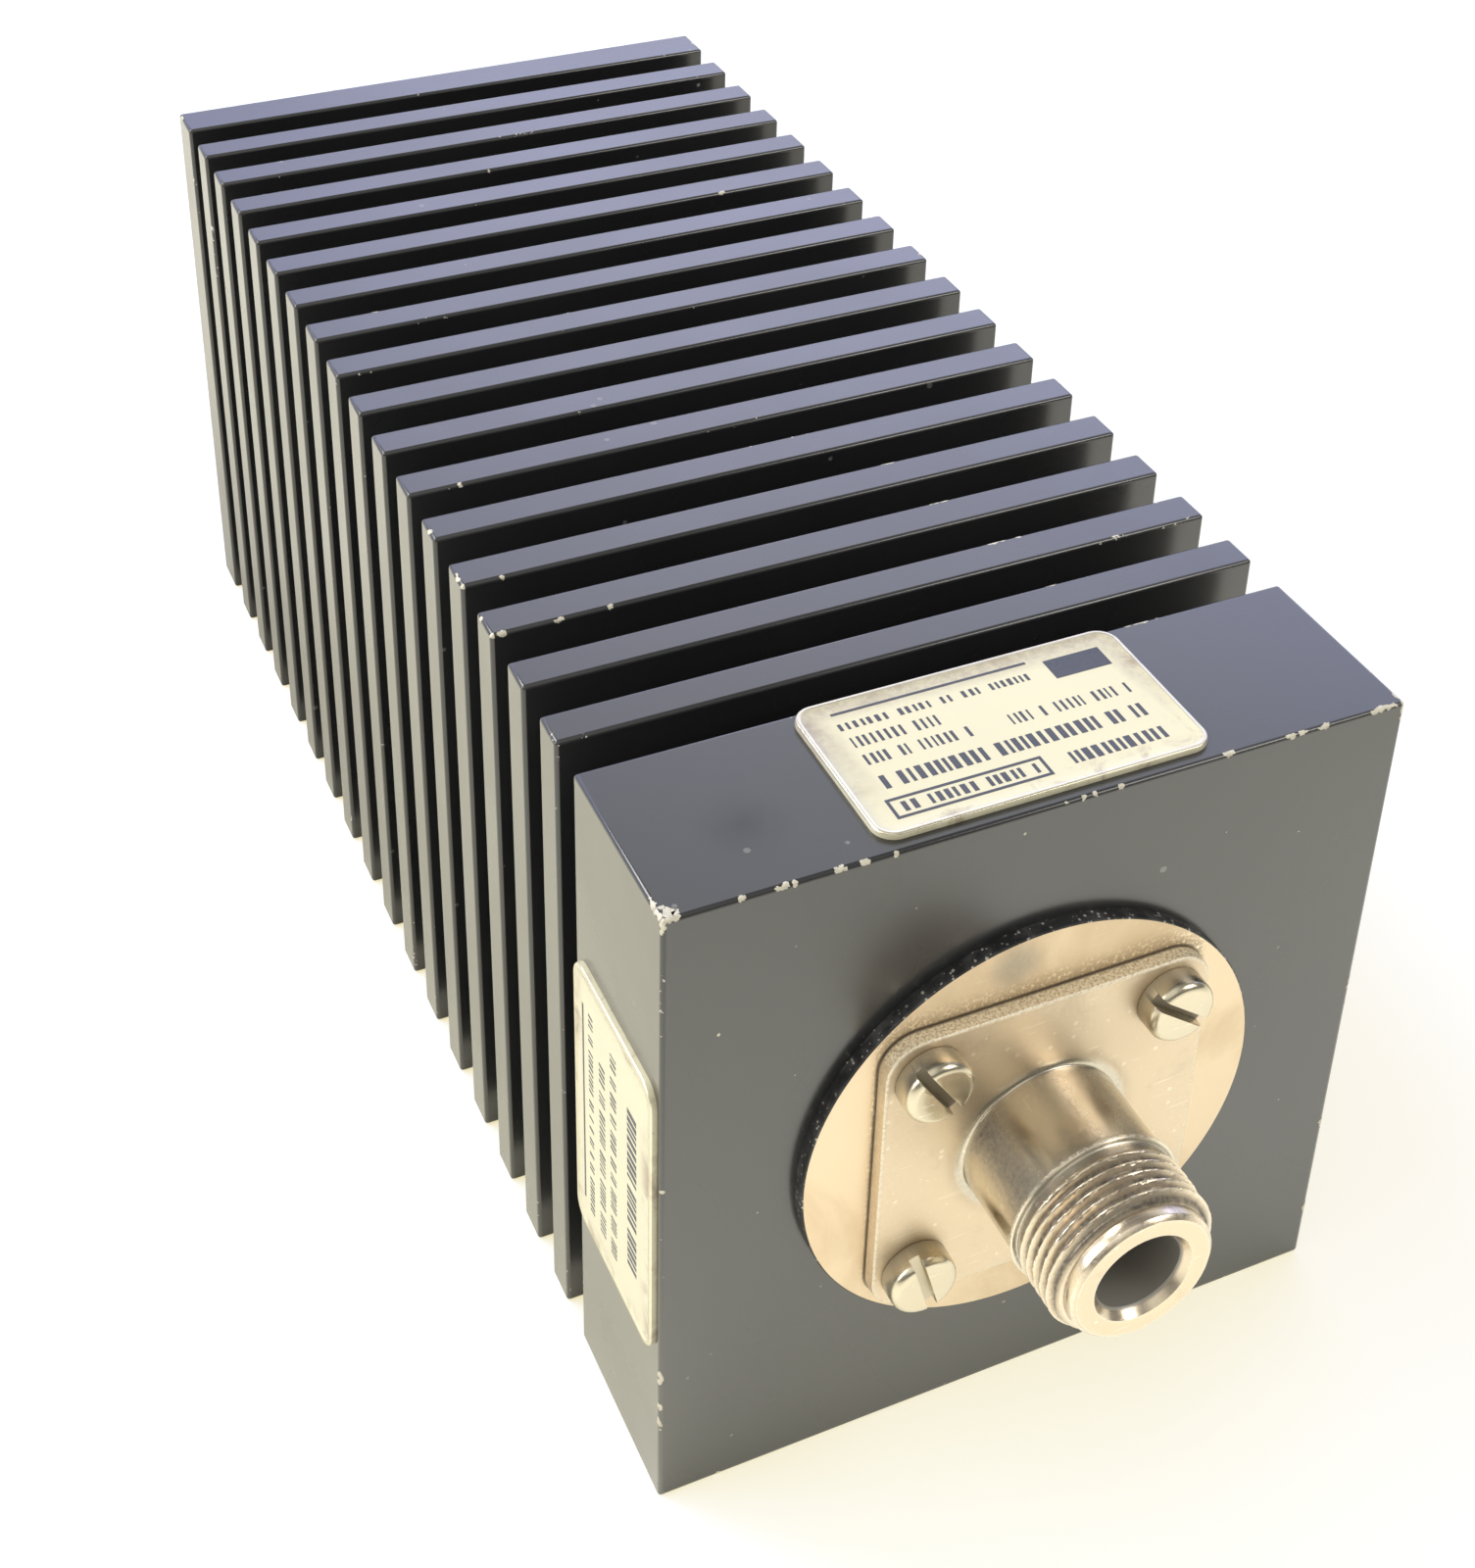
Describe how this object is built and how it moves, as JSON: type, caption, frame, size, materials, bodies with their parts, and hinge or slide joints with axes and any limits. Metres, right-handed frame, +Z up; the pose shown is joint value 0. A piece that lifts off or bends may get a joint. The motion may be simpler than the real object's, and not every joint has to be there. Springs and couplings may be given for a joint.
{
  "type": "rf dummy load",
  "caption": "Square black finned radiator with a threaded coaxial socket on its front face that turns radio-frequency power into heat.",
  "frame": {"origin": "middle of the part's outline, on the plane that the radiator rests on", "axes": "+Y runs back along the fins, -Y is the way the socket faces, +Z up"},
  "size_m": [0.0704, 0.1786, 0.0705],
  "materials": {
    "black_paint": "satin",
    "plated_flange": "satin",
    "plated_connector": "polished",
    "plated_screws": "polished",
    "black_rubber": "matte",
    "white_insulator": "matte",
    "silvered_brass": "satin",
    "bare_brass": "satin",
    "bare_copper": "satin",
    "resistor_ceramic": "matte",
    "plate_face": "satin"
  },
  "bodies": {
    "root": {"radiator": "black_paint", "load_flange": "plated_flange", "flange_seal_ring": "black_rubber", "seal_bead": "white_insulator", "bead_seal_ring": "black_rubber", "line_conductor": "silvered_brass", "taper_housing": "bare_brass", "resistor_tube": "resistor_ceramic", "resistor_input_cap": "silvered_brass", "resistor_ground_cap": "silvered_brass", "ground_plug": "bare_copper", "connector_body": "plated_connector", "connector_insulator": "white_insulator", "connector_contact": "bare_copper", "flange_screws": "plated_screws", "nameplate": "plate_face", "side_plate": "plate_face"}
  },
  "joints": []
}
